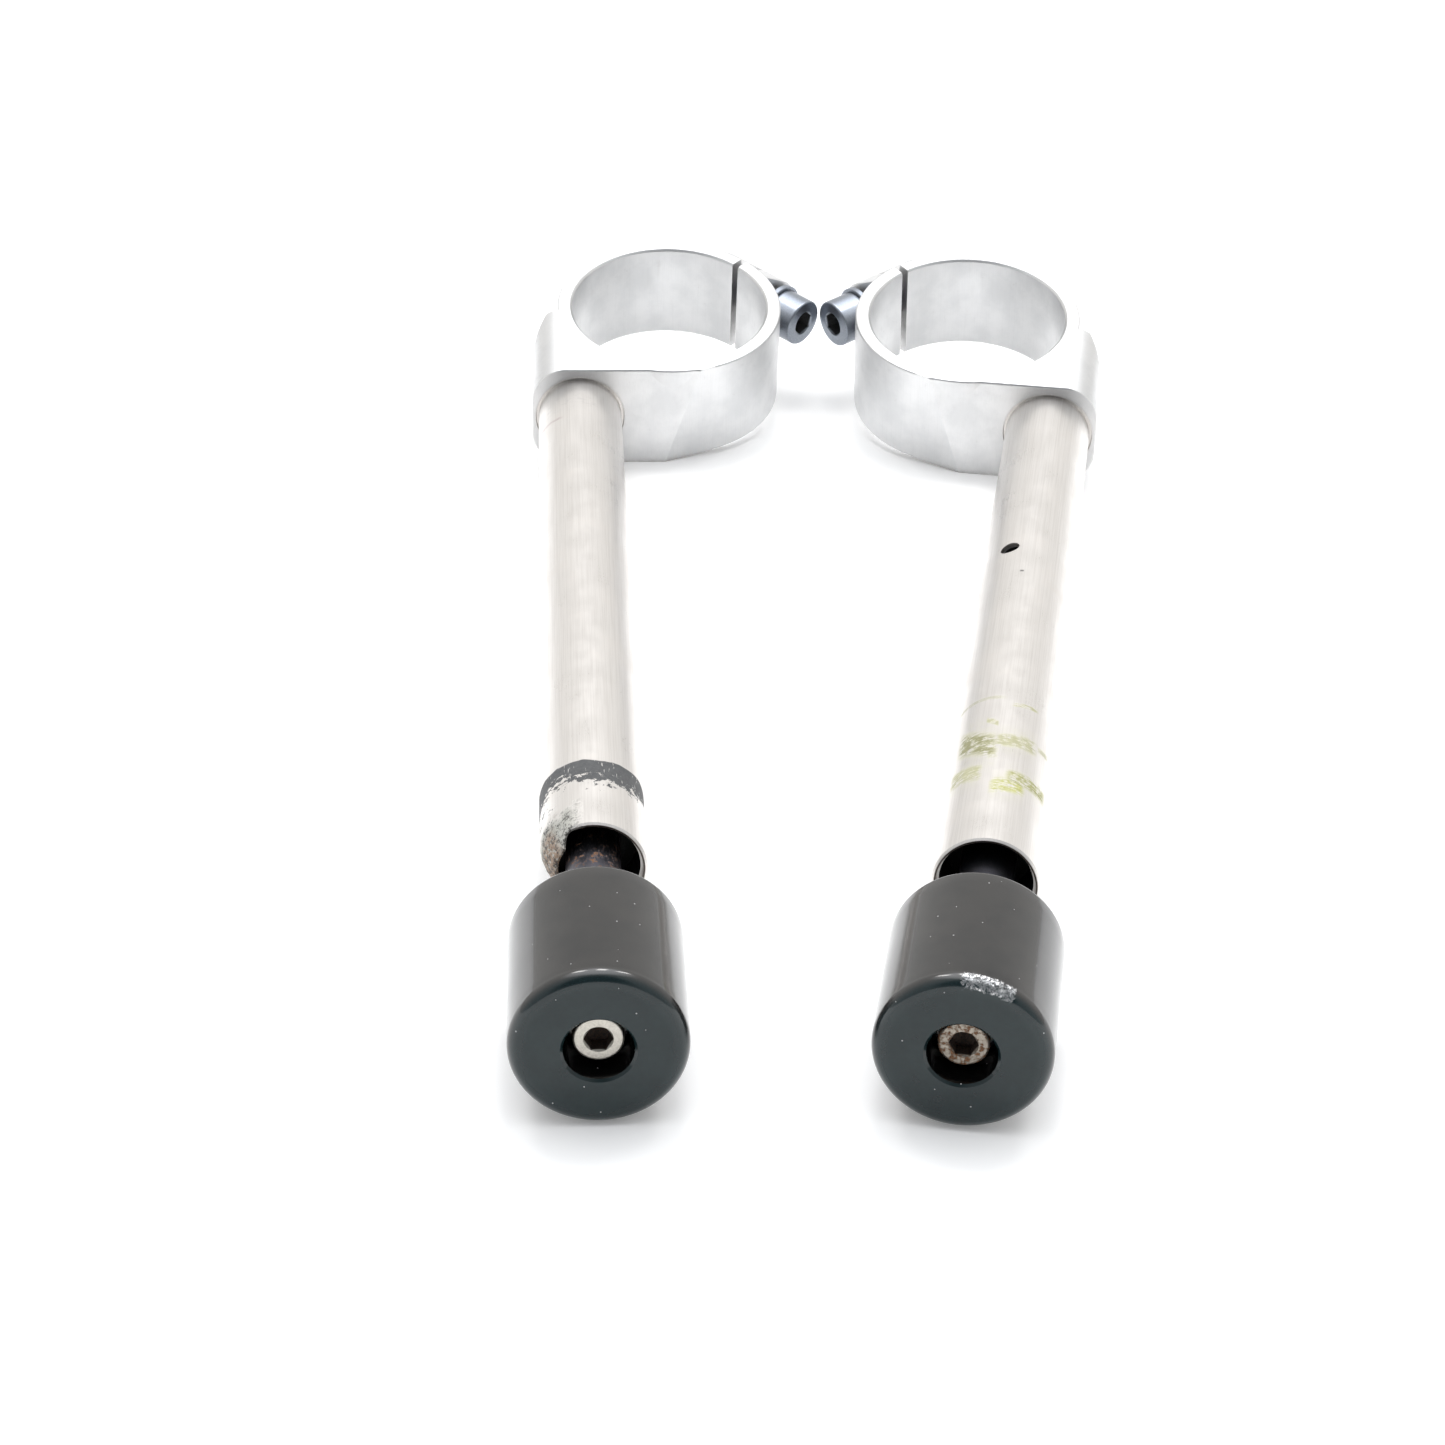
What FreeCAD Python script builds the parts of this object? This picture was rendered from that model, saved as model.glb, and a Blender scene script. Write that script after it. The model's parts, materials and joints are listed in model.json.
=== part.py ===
"""A mirrored pair of motorcycle clip-on handlebars with bar end weights, lying flat as a pair.

Millimetres. +Z is up and Z = 0 is the surface that the pair lies on. X = 0 is the plane half way between
the two clip-ons, and the bars point along -Y. The left clip-on is modelled in its own clamp frame, whose
+Z is the axis of the fork bore, and is then leant forward until its boss and its weight rest on the
surface. The right clip-on is its mirror image, apart from a closer weight and a hole in the bar tube.
"""
import FreeCAD, Part
import math
import os

Vec = FreeCAD.Vector

# Fork clamp
FORK_R = 26.5               # bore for a 53 mm fork tube
CLAMP_R = 30.5
CLAMP_HEIGHT = 28.0
BORE_CHAMFER = 0.6
RIM_FILLET = 0.6

# Boss that the bar tube goes into
BOSS_SIDE_X = -37.5
BOSS_ROUND_R = 9.0
BOSS_FRONT_TOP_Y = -29.8
BOSS_FRONT_BOTTOM_Y = -33.5
BOSS_CORNER_X = -1.7
BOSS_BACK_Y = -17.0
BOSS_BLEND_R = 30.0
BOSS_BLEND_TURN = 30.0      # degrees of arc between the boss's flat side and the ring

# Pinch lugs, slot and M8 pinch bolt. The slot runs outward at SLOT_ANGLE from the clamp's +X.
SLOT_ANGLE = 46.0
SLOT_WIDTH = 2.0
SLOT_OFFSET = 0.8
BOLT_REACH = 34.3
LUG_R = 8.0
LUG_SHOULDER = 27.5
LUG_FRONT = 8.9
LUG_REAR = -11.0
BOLT_R = 3.95
BOLT_THREAD_R = 4.0
BOLT_CLEARANCE_R = 4.4
BOLT_HEAD_R = 6.5
BOLT_HEAD_HEIGHT = 8.0
BOLT_HEX = 6.0
BOLT_HEX_DEPTH = 4.2
BOLT_TIP = -12.5
BOLT_BACKED_OUT = 1.35      # the bolt stands one turn out, because no fork is clamped
BOLT_WASHER_R = 7.5
BOLT_WASHER_THICKNESS = 1.6
SPOT_FACE_R = 8.0

# Bar tube. Distances along the bar are counted from the plane through the fork bore's axis.
TUBE_R = 11.1
TUBE_BORE_R = 8.0
TUBE_X = -24.7
TUBE_RISE = 13.0            # degrees that the bar rises out of the clamp's own plane
TUBE_HEIGHT_AT_FACE = 0.4
TUBE_START = 18.0
TUBE_SHOULDER = 30.5        # the tube seats here, and its thinner spigot goes on into the boss
TUBE_END = 258.2
SPIGOT_R = 10.4
SOCKET_MOUTH_R = 11.8       # open ring around the tube where it enters the boss
TUBE_MOUTH_R = 9.7
TUBE_MOUTH_DEPTH = 54.0
TUBE_CHAMFER = 0.4
MOUTH_STEP_R = 10.25
MOUTH_STEP_DEPTH = 1.5
SOCKET_WALL = 1.5
SWITCH_HOLE_R = 2.4
SWITCH_HOLE_AT = 123.0
SWITCH_HOLE_TURN = 25.0     # degrees from straight up towards the other clip-on

# Bar end: weight, spacer and rubber expander on one long M6 screw. Depths are from the weight's front.
WEIGHT_GAP = {"left": 25.3, "right": 21.9}      # bare neck between the tube's end and the weight
WEIGHT_R = 17.3
WEIGHT_LENGTH = 38.0
WEIGHT_FRONT_FILLET = 2.4
WEIGHT_REAR_FILLET = 1.2
COUNTERBORE_R = 6.8
COUNTERBORE_DEPTH = 11.4
COUNTERBORE_CHAMFER = 0.5
SCREW_R = 2.95
SCREW_THREAD_R = 3.0
SCREW_CLEARANCE_R = 3.3
SCREW_HEAD_R = 5.0
SCREW_HEAD_HEIGHT = 6.0
SCREW_HEX = 5.0
SCREW_HEX_DEPTH = 3.4
SCREW_LENGTH = 103.0
SCREW_WASHER_R = 6.0
SCREW_WASHER_THICKNESS = 1.6
SEAT_GAP = 0.05
SPACER_R = 5.7
SPACER_LENGTH = 36.0
PRESSURE_WASHER_R = 9.5
PRESSURE_WASHER_THICKNESS = 2.0
PLUG_R = 9.6
PLUG_LENGTH = 22.0
CONE_DEPTH = 7.0
CONE_TIP_R = 4.2
CONE_BASE_R = 7.8
NUT_R = 8.6
NUT_FLANGE = 6.0
CONE_GAP = 0.1

# How the pair lies
BORE_SPACING = 82.0
TOE_IN = 5.7                # degrees that each bar points in towards the other

OVERCUT = 1.0               # how far a cutter runs past the face that it cuts through

HALF_HEIGHT = CLAMP_HEIGHT / 2
RISE = math.radians(TUBE_RISE)
BAR = Vec(0, -math.cos(RISE), math.sin(RISE))
BAR_UP = Vec(0, math.sin(RISE), math.cos(RISE))
BAR_SIDE = Vec(1, 0, 0)
TUBE_ORIGIN = Vec(TUBE_X, 0, TUBE_HEIGHT_AT_FACE + BOSS_FRONT_BOTTOM_Y * math.tan(RISE))
SLOT_OUT = Vec(math.cos(math.radians(SLOT_ANGLE)), math.sin(math.radians(SLOT_ANGLE)), 0)
BOLT_OUT = Vec(math.sin(math.radians(SLOT_ANGLE)), -math.cos(math.radians(SLOT_ANGLE)), 0)
UP = Vec(0, 0, 1)


def along_bar(distance):
    """The point on the bar's axis at that distance from the plane through the fork bore's axis."""
    return TUBE_ORIGIN + BAR * distance


def on_bolt(offset):
    """The point on the pinch bolt's axis at that offset from the plane through the fork bore's axis."""
    return SLOT_OUT * BOLT_REACH + BOLT_OUT * offset


def prism(points, direction):
    """A solid swept from a flat outline of straight edges."""
    return Part.Face(Part.makePolygon(points + points[:1])).extrude(direction)


def turned(outline, base, axis):
    """A solid of revolution from an outline of (radius, distance along the axis) points and arcs.

    An item of three points is an arc through them, and any other item is a corner."""
    edges = []
    ends = [(item[0], item[-1]) if len(item) == 3 else (item, item) for item in outline]
    for index, item in enumerate(outline):
        if len(item) == 3:
            edges.append(Part.Arc(*[Vec(r, 0, z) for r, z in item]).toShape())
        start = ends[index][1]
        finish = ends[(index + 1) % len(outline)][0]
        if math.dist(start, finish) > 1e-6:
            edges.append(Part.makeLine(Vec(start[0], 0, start[1]), Vec(finish[0], 0, finish[1])))
    solid = Part.Face(Part.Wire(edges)).revolve(Vec(), UP, 360)
    solid = Part.Solid(Part.Shell(solid.Faces)) if solid.ShapeType != "Solid" else solid
    if solid.Volume < 0:
        solid.reverse()
    solid.Placement = FreeCAD.Placement(base, FreeCAD.Rotation(UP, axis))
    return solid


def corner_arc(centre_r, centre_z, radius, first, last):
    """A quarter round in a turned outline, from one angle to another in degrees."""
    angles = [math.radians(a) for a in (first, (first + last) / 2, last)]
    return tuple((centre_r + radius * math.cos(a), centre_z + radius * math.sin(a)) for a in angles)


def rod(radius, start, axis, length):
    return Part.makeCylinder(radius, length, start, axis)


def hexagon(across_flats, centre, axis, depth):
    """A hexagonal prism standing on its centre point."""
    corner_r = across_flats / math.sqrt(3)
    corners = [Vec(corner_r * math.cos(a), corner_r * math.sin(a), 0)
               for a in (math.radians(60 * k) for k in range(6))]
    solid = prism(corners, UP * depth)
    solid.Placement = FreeCAD.Placement(centre, FreeCAD.Rotation(UP, axis))
    return solid


def washer(outer_r, inner_r, thickness, base, axis):
    """A flat washer with lightly broken edges."""
    edge = 0.2
    outline = [(inner_r, 0), (outer_r - edge, 0), (outer_r, edge),
               (outer_r, thickness - edge), (outer_r - edge, thickness), (inner_r, thickness)]
    return turned(outline, base, axis)


def socket_screw(shank_r, shank_length, head_r, head_height, hex_size, hex_depth, seat, axis):
    """A socket head cap screw. Its head's underside is at the seat and its head stands out along the axis."""
    tip = 0.8
    rim = 0.6
    outline = [
        (0, -shank_length), (shank_r - tip, -shank_length), (shank_r, tip - shank_length), (shank_r, 0),
        (head_r, 0), corner_arc(head_r - rim, head_height - rim, rim, 0, 90), (0, head_height),
    ]
    screw = turned(outline, seat, axis)
    mouth = 0.35
    mouth_r = hex_size / math.sqrt(3)
    drill_depth = hex_size / 4
    socket_floor = seat + axis * (head_height - hex_depth)
    socket = hexagon(hex_size, socket_floor, axis, hex_depth + OVERCUT)
    drill = Part.makeCone(0, hex_size / 2, drill_depth, socket_floor - axis * drill_depth, axis)
    entry = Part.makeCone(mouth_r - mouth, mouth_r + mouth, 2 * mouth,
                          seat + axis * (head_height - mouth), axis)
    return screw.cut(socket.fuse([drill, entry]))


def tangent_point(centre, radius, outside, side):
    """Where a line from an outside point touches a circle, on the given side (+1 or -1), in the plane."""
    gap = outside - centre
    turn = math.acos(radius / gap.Length) * side
    base = math.atan2(gap.y, gap.x)
    return centre + Vec(math.cos(base + turn), math.sin(base + turn), 0) * radius


def boss():
    """The block beside the ring, round on its outer side, with a front face that leans back at the top."""
    z = HALF_HEIGHT
    reach = 2 * CLAMP_R
    r = BOSS_ROUND_R
    x = BOSS_SIDE_X
    midway = 1 - math.sqrt(0.5)
    diagonal = r * midway
    top = Part.Arc(Vec(x, 0, z - r), Vec(x + diagonal, 0, z - diagonal), Vec(x + r, 0, z)).toShape()
    bottom = Part.Arc(Vec(x + r, 0, -z), Vec(x + diagonal, 0, diagonal - z), Vec(x, 0, r - z)).toShape()
    section = Part.Wire([
        bottom,
        Part.makeLine(Vec(x, 0, r - z), Vec(x, 0, z - r)),
        top,
        Part.makeLine(Vec(x + r, 0, z), Vec(reach, 0, z)),
        Part.makeLine(Vec(reach, 0, z), Vec(reach, 0, -z)),
        Part.makeLine(Vec(reach, 0, -z), Vec(x + r, 0, -z)),
    ])
    rounded = Part.Face(section).extrude(Vec(0, 2 * reach, 0))
    rounded.translate(Vec(0, -reach, 0))

    edge = RIM_FILLET
    slope = (BOSS_FRONT_TOP_Y - BOSS_FRONT_BOTTOM_Y) / CLAMP_HEIGHT
    round_top = Part.Arc(Vec(-reach, BOSS_FRONT_TOP_Y + edge, z),
                         Vec(-reach, BOSS_FRONT_TOP_Y + midway * edge, z - midway * edge),
                         Vec(-reach, BOSS_FRONT_TOP_Y - slope * edge, z - edge)).toShape()
    foot = Vec(-reach, BOSS_FRONT_BOTTOM_Y, -z)
    back_y = CLAMP_R
    side_wire = Part.Wire([
        round_top,
        Part.makeLine(Vec(-reach, BOSS_FRONT_TOP_Y - slope * edge, z - edge), foot),
        Part.makeLine(foot, Vec(-reach, back_y, -z)),
        Part.makeLine(Vec(-reach, back_y, -z), Vec(-reach, back_y, z)),
        Part.makeLine(Vec(-reach, back_y, z), Vec(-reach, BOSS_FRONT_TOP_Y + edge, z)),
    ])
    front = Part.Face(side_wire).extrude(Vec(2 * reach, 0, 0))

    corner = Vec(BOSS_CORNER_X, BOSS_FRONT_BOTTOM_Y, 0)
    ring_touch = tangent_point(Vec(), CLAMP_R, corner, 1)
    side_end = Vec(x, BOSS_BACK_Y, 0)
    blend_centre = side_end + Vec(BOSS_BLEND_R, 0, 0)
    blend_turn = math.radians(180 - BOSS_BLEND_TURN)
    blend_end = blend_centre + Vec(math.cos(blend_turn), math.sin(blend_turn), 0) * BOSS_BLEND_R
    blend_mid_turn = math.radians(180 - BOSS_BLEND_TURN / 2)
    blend_mid = blend_centre + Vec(math.cos(blend_mid_turn), math.sin(blend_mid_turn), 0) * BOSS_BLEND_R
    line_end = Vec(x, -reach, 0)
    front_end = Vec(BOSS_CORNER_X, -reach, 0)
    plan = Part.Wire([
        Part.makeLine(Vec(), ring_touch),
        Part.makeLine(ring_touch, corner),
        Part.makeLine(corner, front_end),
        Part.makeLine(front_end, line_end),
        Part.makeLine(line_end, side_end),
        Part.Arc(side_end, blend_mid, blend_end).toShape(),
        Part.makeLine(blend_end, Vec()),
    ])
    footprint = Part.Face(plan).extrude(UP * CLAMP_HEIGHT)
    footprint.translate(UP * -HALF_HEIGHT)
    return rounded.common(front).common(footprint)


def lug(start, finish):
    """One pinch lug, between two offsets along the bolt. Its outline is a round nose with a flared root."""
    root = FORK_R / 2
    centre = Vec(BOLT_REACH, 0, 0)
    shoulder = Vec(LUG_SHOULDER, HALF_HEIGHT, 0)
    touch = tangent_point(centre, LUG_R, shoulder, -1)

    def placed(reach, height):
        return SLOT_OUT * reach + BOLT_OUT * start + UP * height

    nose = Part.Arc(placed(touch.x, -touch.y), placed(BOLT_REACH + LUG_R, 0), placed(touch.x, touch.y))
    outline = Part.Wire([
        Part.makeLine(placed(root, -HALF_HEIGHT), placed(shoulder.x, -HALF_HEIGHT)),
        Part.makeLine(placed(shoulder.x, -HALF_HEIGHT), placed(touch.x, -touch.y)),
        nose.toShape(),
        Part.makeLine(placed(touch.x, touch.y), placed(shoulder.x, HALF_HEIGHT)),
        Part.makeLine(placed(shoulder.x, HALF_HEIGHT), placed(root, HALF_HEIGHT)),
        Part.makeLine(placed(root, HALF_HEIGHT), placed(root, -HALF_HEIGHT)),
    ])
    return Part.Face(outline).extrude(BOLT_OUT * (finish - start))


def spigot():
    """The rod that fills the socket in the boss. It stops short of the fork bore."""
    core = rod(SPIGOT_R, along_bar(TUBE_START), BAR, TUBE_SHOULDER - TUBE_START)
    keep_clear = Part.makeCylinder(FORK_R + SOCKET_WALL, 4 * CLAMP_HEIGHT, UP * (-2 * CLAMP_HEIGHT))
    return core.cut(keep_clear)


def fork_clamp():
    """Split ring, boss and pinch lugs, machined from one block."""
    rim_r = CLAMP_R - RIM_FILLET
    rim_z = HALF_HEIGHT - RIM_FILLET
    ring = turned([
        (0, -HALF_HEIGHT), corner_arc(rim_r, -rim_z, RIM_FILLET, -90, 0),
        corner_arc(rim_r, rim_z, RIM_FILLET, 0, 90), (0, HALF_HEIGHT),
    ], Vec(), UP)
    lugs = [lug(SLOT_OFFSET, LUG_FRONT), lug(LUG_REAR, SLOT_OFFSET)]
    body = ring.fuse([boss()] + lugs).removeSplitter()

    through = CLAMP_HEIGHT + 2 * OVERCUT
    bore = Part.makeCylinder(FORK_R, through, UP * (-HALF_HEIGHT - OVERCUT))
    lower_chamfer = Part.makeCone(FORK_R + BORE_CHAMFER, FORK_R, BORE_CHAMFER, UP * -HALF_HEIGHT)
    upper_chamfer = Part.makeCone(FORK_R, FORK_R + BORE_CHAMFER, BORE_CHAMFER,
                                  UP * (HALF_HEIGHT - BORE_CHAMFER))
    slot_length = BOLT_REACH + 2 * LUG_R
    slot = Part.makeBox(slot_length, SLOT_WIDTH, through,
                        Vec(0, -SLOT_OFFSET - SLOT_WIDTH / 2, -HALF_HEIGHT - OVERCUT))
    slot.rotate(Vec(), UP, SLOT_ANGLE)
    clearance = rod(BOLT_CLEARANCE_R, on_bolt(SLOT_OFFSET), BOLT_OUT, LUG_FRONT)
    thread_length = SLOT_OFFSET - LUG_REAR + 2 * OVERCUT
    thread = rod(BOLT_THREAD_R, on_bolt(LUG_REAR - OVERCUT), BOLT_OUT, thread_length)
    spot_face = rod(SPOT_FACE_R, on_bolt(LUG_FRONT), BOLT_OUT, CLAMP_R)
    socket_mouth = rod(SOCKET_MOUTH_R, along_bar(TUBE_SHOULDER), BAR, CLAMP_R)
    body = body.cut([bore, lower_chamfer, upper_chamfer, slot, clearance, thread, spot_face])
    return body.cut([spigot(), socket_mouth])


def bar_tube(side):
    """The straight handlebar tube. Only the right one has a locating hole for a switch housing."""
    tube = spigot().fuse(rod(TUBE_R, along_bar(TUBE_SHOULDER), BAR, TUBE_END - TUBE_SHOULDER))
    bore = rod(TUBE_BORE_R, along_bar(0), BAR, TUBE_END + OVERCUT)
    mouth = rod(TUBE_MOUTH_R, along_bar(TUBE_END - TUBE_MOUTH_DEPTH), BAR, TUBE_MOUTH_DEPTH + OVERCUT)
    outer_chamfer = turned([
        (TUBE_R - TUBE_CHAMFER, 0), (TUBE_R - TUBE_CHAMFER, OVERCUT), (TUBE_R + OVERCUT, OVERCUT),
        (TUBE_R + OVERCUT, -TUBE_CHAMFER), (TUBE_R, -TUBE_CHAMFER),
    ], along_bar(TUBE_END), BAR)
    step = rod(MOUTH_STEP_R, along_bar(TUBE_END - MOUTH_STEP_DEPTH), BAR, MOUTH_STEP_DEPTH + OVERCUT)
    tube = tube.cut([bore, mouth, step, outer_chamfer])
    if side == "right":
        turn = math.radians(SWITCH_HOLE_TURN)
        outward = BAR_UP * math.cos(turn) + BAR_SIDE * math.sin(turn)
        tube = tube.cut(rod(SWITCH_HOLE_R, along_bar(SWITCH_HOLE_AT), outward, TUBE_R + OVERCUT))
    return tube


def pinch_bolt():
    seat = LUG_FRONT + BOLT_BACKED_OUT + BOLT_WASHER_THICKNESS + SEAT_GAP
    return socket_screw(BOLT_R, seat - BOLT_TIP, BOLT_HEAD_R, BOLT_HEAD_HEIGHT, BOLT_HEX, BOLT_HEX_DEPTH,
                        on_bolt(seat), BOLT_OUT)


def pinch_washer():
    return washer(BOLT_WASHER_R, BOLT_CLEARANCE_R, BOLT_WASHER_THICKNESS,
                  on_bolt(LUG_FRONT + BOLT_BACKED_OUT), BOLT_OUT)


def end_weight(front):
    """The turned weight, with a rounded front rim and a counterbore for the screw's head."""
    length, r = WEIGHT_LENGTH, WEIGHT_R
    f, b, c = WEIGHT_FRONT_FILLET, WEIGHT_REAR_FILLET, COUNTERBORE_CHAMFER
    outline = [
        (SCREW_CLEARANCE_R, -length),
        corner_arc(r - b, b - length, b, -90, 0),
        corner_arc(r - f, -f, f, 0, 90),
        (COUNTERBORE_R + c, 0), (COUNTERBORE_R, -c),
        (COUNTERBORE_R, -COUNTERBORE_DEPTH), (SCREW_CLEARANCE_R, -COUNTERBORE_DEPTH),
    ]
    return turned(outline, front, BAR)


def bar_end(side):
    """Every piece of one bar end, as {name: solid}, placed from the front of the weight inwards."""
    front_distance = TUBE_END + WEIGHT_GAP[side] + WEIGHT_LENGTH

    def depth(mm):
        return along_bar(front_distance - mm)

    seat = COUNTERBORE_DEPTH - SCREW_WASHER_THICKNESS
    spacer_end = WEIGHT_LENGTH + SPACER_LENGTH
    plug_start = spacer_end + PRESSURE_WASHER_THICKNESS
    plug_end = plug_start + PLUG_LENGTH
    edge = 0.4
    spacer = turned([(SCREW_CLEARANCE_R, 0), (SPACER_R - edge, 0), (SPACER_R, edge),
                     (SPACER_R, SPACER_LENGTH - edge), (SPACER_R - edge, SPACER_LENGTH),
                     (SCREW_CLEARANCE_R, SPACER_LENGTH)], depth(spacer_end), BAR)
    plug = turned([(CONE_BASE_R, 0), corner_arc(PLUG_R - edge, edge, edge, -90, 0),
                   corner_arc(PLUG_R - edge, PLUG_LENGTH - edge, edge, 0, 90),
                   (SCREW_CLEARANCE_R, PLUG_LENGTH), (SCREW_CLEARANCE_R, CONE_DEPTH),
                   (CONE_TIP_R, CONE_DEPTH)], depth(plug_end), BAR)
    nut = turned([(SCREW_THREAD_R, 0), (NUT_R, 0), (NUT_R, NUT_FLANGE), (CONE_BASE_R, NUT_FLANGE),
                  (CONE_TIP_R, NUT_FLANGE + CONE_DEPTH), (SCREW_THREAD_R, NUT_FLANGE + CONE_DEPTH)],
                 depth(plug_end + NUT_FLANGE + CONE_GAP), BAR)
    return {
        "end_weight": end_weight(depth(0)),
        "spacer": spacer,
        "screw_washer": washer(SCREW_WASHER_R, SCREW_CLEARANCE_R, SCREW_WASHER_THICKNESS,
                               depth(COUNTERBORE_DEPTH), BAR),
        "pressure_washer": washer(PRESSURE_WASHER_R, SCREW_CLEARANCE_R, PRESSURE_WASHER_THICKNESS,
                                  depth(plug_start), BAR),
        "expander_rubber": plug,
        "expander_nut": nut,
        "weight_screw": socket_screw(SCREW_R, SCREW_LENGTH, SCREW_HEAD_R, SCREW_HEAD_HEIGHT, SCREW_HEX,
                                     SCREW_HEX_DEPTH, depth(seat - SEAT_GAP), BAR),
    }


def lean_angle(side):
    """How far, in degrees, the clamp leans forward for its boss and the weight's rear rim to rest level."""
    weight_rear = along_bar(TUBE_END + WEIGHT_GAP[side] + WEIGHT_REAR_FILLET) - BAR_UP * WEIGHT_R
    boss_foot = Vec(0, BOSS_FRONT_BOTTOM_Y, -HALF_HEIGHT)
    step = weight_rear - boss_foot
    return math.degrees(math.atan2(step.z, -step.y))


def placement(side):
    """Where a clamp frame lies, before the right side is mirrored in X = 0."""
    lean = FreeCAD.Rotation(Vec(1, 0, 0), lean_angle(side))
    turn = FreeCAD.Rotation(UP, TOE_IN).multiply(lean)
    foot = turn.multVec(Vec(0, BOSS_FRONT_BOTTOM_Y, -HALF_HEIGHT))
    return FreeCAD.Placement(Vec(-BORE_SPACING / 2, 0, -foot.z), turn)


def clip_on(side):
    """Every piece of one clip-on in the clamp frame, as {name: solid}."""
    pieces = {
        "fork_clamp": fork_clamp(),
        "bar_tube": bar_tube(side),
        "pinch_bolt": pinch_bolt(),
        "pinch_washer": pinch_washer(),
    }
    pieces.update(bar_end(side))
    return pieces


def pair():
    """Both clip-ons as they lie, as {node: solid}, and the shift along Y that centres them."""
    laid = {}
    for side in ("left", "right"):
        place = placement(side)
        for name, solid in clip_on(side).items():
            shape = solid.copy()
            shape.Placement = place.multiply(shape.Placement)
            laid[f"{side}_{name}"] = shape if side == "left" else shape.mirror(Vec(), Vec(1, 0, 0))
    boxes = [shape.optimalBoundingBox() for shape in laid.values()]
    shift = -(min(box.YMin for box in boxes) + max(box.YMax for box in boxes)) / 2
    for shape in laid.values():
        shape.translate(Vec(0, shift, 0))
    return laid, shift


def main():
    os.makedirs("parts", exist_ok=True)
    for node, solid in pair()[0].items():
        solid.exportStep(f"parts/{node}.step")


if __name__ == "__main__":
    main()
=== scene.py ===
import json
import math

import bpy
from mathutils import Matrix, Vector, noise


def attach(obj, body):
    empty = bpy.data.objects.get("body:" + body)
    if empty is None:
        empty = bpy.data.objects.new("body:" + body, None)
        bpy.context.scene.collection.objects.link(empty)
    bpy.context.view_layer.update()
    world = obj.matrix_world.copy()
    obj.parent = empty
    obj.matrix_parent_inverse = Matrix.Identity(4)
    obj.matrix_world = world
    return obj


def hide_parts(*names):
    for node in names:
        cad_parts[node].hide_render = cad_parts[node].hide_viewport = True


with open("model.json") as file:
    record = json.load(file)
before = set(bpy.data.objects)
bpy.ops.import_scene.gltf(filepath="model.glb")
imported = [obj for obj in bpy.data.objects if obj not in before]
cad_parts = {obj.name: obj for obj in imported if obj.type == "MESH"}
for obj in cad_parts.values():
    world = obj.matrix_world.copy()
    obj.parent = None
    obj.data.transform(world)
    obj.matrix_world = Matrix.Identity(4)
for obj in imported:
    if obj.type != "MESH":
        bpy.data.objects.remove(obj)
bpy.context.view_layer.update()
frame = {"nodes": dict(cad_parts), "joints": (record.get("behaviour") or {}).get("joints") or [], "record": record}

# A pair of clip-on handlebars with bar end weights, dressed around the CAD frame. Metres, in the CAD frame.
#
# Wear and machining marks are placed in a bar's own frame, in millimetres: X points towards the other
# clip-on, Y up and Z along the bar, with zero in the middle of the tube's end face. Angles there are in
# degrees around the bar, from straight up towards the other clip-on.

NODES = frame["nodes"]
MOUNTS = {mount["name"]: mount for mount in frame["record"]["mounts"]}
JOINTS = {joint["name"]: joint for joint in frame["joints"]}
SIDES = ("left", "right")
MM = 0.001

# Sizes in millimetres, as in the CAD model
TUBE_R = 11.1
TUBE_CHAMFER = 0.4
TUBE_BORE_R = 8.0
SPIGOT_R = 10.4
SHOULDER_AT = -227.7
BOSS_FRONT_TOP = 29.8
BOSS_FRONT_BOTTOM = 33.5
CLAMP_HEIGHT = 28.0
SWITCH_HOLE_R = 2.4
SWITCH_HOLE_AT = -135.2
SWITCH_HOLE_TURN = 25.0
MOUTH_R = 9.7
MOUTH_DEPTH = 54.0
MOUTH_STEP_R = 10.25
MOUTH_STEP_DEPTH = 1.5
WEIGHT_R = 17.3
WEIGHT_LENGTH = 38.0
WEIGHT_GAP = {"left": 25.3, "right": 21.9}
WEIGHT_FRONT_FILLET = 2.4
WEIGHT_REAR_FILLET = 1.2
COUNTERBORE_R = 6.8
COUNTERBORE_DEPTH = 11.4
COUNTERBORE_CHAMFER = 0.5
SCREW_CLEARANCE_R = 3.3
SCREW_RIM_DEPTH = 3.75
BOLT_RIM = 11.0

# How far from the axis the painted shade inside a hex socket reaches
BOLT_SOCKET_R = 3.5
SCREW_SOCKET_R = 2.92

# Sizes of the visual meshes alone. The collar fills the ring around the tube where it enters the boss.
SPIGOT_LENGTH = 6.0
COLLAR_R = 11.72
COLLAR_RECESS = 0.6
COLLAR_AT = -224.0
CRUSH_DEPTH = 3.0
CRUSH_LENGTH = 9.8
SHARP_TURN = 25.0
TUBE_SEGMENTS = 288
WEIGHT_SEGMENTS = 256

# Dents in the right weight's front rim: angle, reach in degrees and depth
SCRAPES = ((-26.0, 4.5, 0.9), (-14.0, 5.0, 0.55), (-2.0, 4.0, 0.5))

# Camera, at the photograph's viewing angle
CAMERA_AT = (0.0053, -0.6440, 0.364)
CAMERA_HEADING = 0.037
CAMERA_PITCH = -0.536
CAMERA_ROLL = 0.021
CAMERA_LENS = 76.84
CAMERA_SHIFT_Y = 0.0081

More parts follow.
